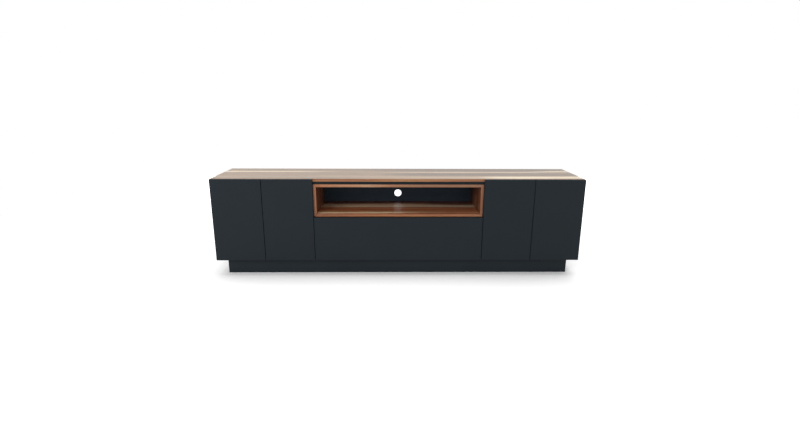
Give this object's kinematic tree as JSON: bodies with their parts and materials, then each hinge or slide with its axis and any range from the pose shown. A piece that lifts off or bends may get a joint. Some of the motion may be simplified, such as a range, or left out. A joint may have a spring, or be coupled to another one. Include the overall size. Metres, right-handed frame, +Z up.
{
  "type": "tv cabinet",
  "caption": "Low wide TV cabinet on a recessed plinth: handle-less hinged doors at both ends, an open wood-lined niche with a cable hole in the middle, and a wide drawer under it.",
  "frame": {"origin": "on the floor at the middle of the cabinet's footprint", "axes": "+X along the width to the cabinet's right as seen from the front, +Y from the doors to the back, +Z up"},
  "size_m": [2.2, 0.42, 0.594],
  "materials": {
    "front_lacquer": "matt charcoal lacquer on MDF",
    "carcass_board": "matt charcoal melamine faced board",
    "plinth_lacquer": "matt charcoal lacquer",
    "walnut_veneer": "satin lacquered walnut veneer with pale sapwood bands",
    "hinge_steel": "nickel plated pressed steel",
    "runner_steel": "bright zinc plated rolled steel"
  },
  "bodies": {
    "carcass": {"top_board": "walnut_veneer", "sub_top_panel": "carcass_board", "bottom_board": "carcass_board", "left_end_panel": "front_lacquer", "right_end_panel": "front_lacquer", "left_partition": "carcass_board", "right_partition": "carcass_board", "left_back_panel": "carcass_board", "centre_back_panel": "carcass_board", "right_back_panel": "carcass_board", "left_shelf": "carcass_board", "right_shelf": "carcass_board", "plinth_front": "plinth_lacquer", "plinth_back": "plinth_lacquer", "plinth_left": "plinth_lacquer", "plinth_right": "plinth_lacquer", "plinth_cross_rail": "plinth_lacquer", "niche_top": "walnut_veneer", "niche_bottom": "walnut_veneer", "niche_left_side": "walnut_veneer", "niche_right_side": "walnut_veneer", "left_runner_cabinet_member": "runner_steel", "right_runner_cabinet_member": "runner_steel", "left_outer_upper_hinge_arm": "hinge_steel", "left_outer_lower_hinge_arm": "hinge_steel", "left_inner_upper_hinge_arm": "hinge_steel", "left_inner_lower_hinge_arm": "hinge_steel", "right_inner_upper_hinge_arm": "hinge_steel", "right_inner_lower_hinge_arm": "hinge_steel", "right_outer_upper_hinge_arm": "hinge_steel", "right_outer_lower_hinge_arm": "hinge_steel"},
    "drawer": {"drawer_front": "front_lacquer", "drawer_back": "carcass_board", "drawer_bottom": "carcass_board", "drawer_left_side": "carcass_board", "drawer_right_side": "carcass_board", "left_runner_drawer_member": "runner_steel", "right_runner_drawer_member": "runner_steel"},
    "runner_middles": {"left_runner_middle_member": "runner_steel", "right_runner_middle_member": "runner_steel"},
    "left_outer_hinge_links": {"left_outer_upper_hinge_link": "hinge_steel", "left_outer_lower_hinge_link": "hinge_steel"},
    "left_outer_door": {"left_outer_door": "front_lacquer", "left_outer_upper_hinge_cup": "hinge_steel", "left_outer_lower_hinge_cup": "hinge_steel"},
    "left_inner_hinge_links": {"left_inner_upper_hinge_link": "hinge_steel", "left_inner_lower_hinge_link": "hinge_steel"},
    "left_inner_door": {"left_inner_door": "front_lacquer", "left_inner_upper_hinge_cup": "hinge_steel", "left_inner_lower_hinge_cup": "hinge_steel"},
    "right_inner_hinge_links": {"right_inner_upper_hinge_link": "hinge_steel", "right_inner_lower_hinge_link": "hinge_steel"},
    "right_inner_door": {"right_inner_door": "front_lacquer", "right_inner_upper_hinge_cup": "hinge_steel", "right_inner_lower_hinge_cup": "hinge_steel"},
    "right_outer_hinge_links": {"right_outer_upper_hinge_link": "hinge_steel", "right_outer_lower_hinge_link": "hinge_steel"},
    "right_outer_door": {"right_outer_door": "front_lacquer", "right_outer_upper_hinge_cup": "hinge_steel", "right_outer_lower_hinge_cup": "hinge_steel"}
  },
  "joints": [
    {"name": "left_outer_link_swing", "type": "hinge", "parent": "carcass", "child": "left_outer_hinge_links", "pos_m": [-1.0585, -0.1805, 0.345], "axis": [0, 0, 1], "range_deg": [0, 45]},
    {"name": "left_outer_door_swing", "type": "hinge", "parent": "left_outer_hinge_links", "child": "left_outer_door", "pos_m": [-1.0865, -0.196, 0.345], "axis": [0, 0, -1], "range_deg": [0, 150]},
    {"name": "left_inner_link_swing", "type": "hinge", "parent": "carcass", "child": "left_inner_hinge_links", "pos_m": [-0.547, -0.1805, 0.345], "axis": [0, 0, -1], "range_deg": [0, 39]},
    {"name": "left_inner_door_swing", "type": "hinge", "parent": "left_inner_hinge_links", "child": "left_inner_door", "pos_m": [-0.519, -0.196, 0.345], "axis": [0, 0, 1], "range_deg": [0, 130]},
    {"name": "right_inner_link_swing", "type": "hinge", "parent": "carcass", "child": "right_inner_hinge_links", "pos_m": [0.547, -0.1805, 0.345], "axis": [0, 0, 1], "range_deg": [0, 39]},
    {"name": "right_inner_door_swing", "type": "hinge", "parent": "right_inner_hinge_links", "child": "right_inner_door", "pos_m": [0.519, -0.196, 0.345], "axis": [0, 0, -1], "range_deg": [0, 130]},
    {"name": "right_outer_link_swing", "type": "hinge", "parent": "carcass", "child": "right_outer_hinge_links", "pos_m": [1.0585, -0.1805, 0.345], "axis": [0, 0, -1], "range_deg": [0, 45]},
    {"name": "right_outer_door_swing", "type": "hinge", "parent": "right_outer_hinge_links", "child": "right_outer_door", "pos_m": [1.0865, -0.196, 0.345], "axis": [0, 0, 1], "range_deg": [0, 150]},
    {"name": "drawer_slide", "type": "slide", "parent": "carcass", "child": "drawer", "axis": [0, -1, 0], "range_m": [0, 0.3]},
    {"name": "runner_middle_slide", "type": "slide", "parent": "carcass", "child": "runner_middles", "axis": [0, -1, 0], "range_m": [0, 0.15]}
  ],
  "couplings": [
    {"joint": "left_outer_link_swing", "follows": "left_outer_door_swing", "ratio": 0.3},
    {"joint": "left_inner_link_swing", "follows": "left_inner_door_swing", "ratio": 0.3},
    {"joint": "right_inner_link_swing", "follows": "right_inner_door_swing", "ratio": 0.3},
    {"joint": "right_outer_link_swing", "follows": "right_outer_door_swing", "ratio": 0.3},
    {"joint": "runner_middle_slide", "follows": "drawer_slide", "ratio": 0.5}
  ]
}
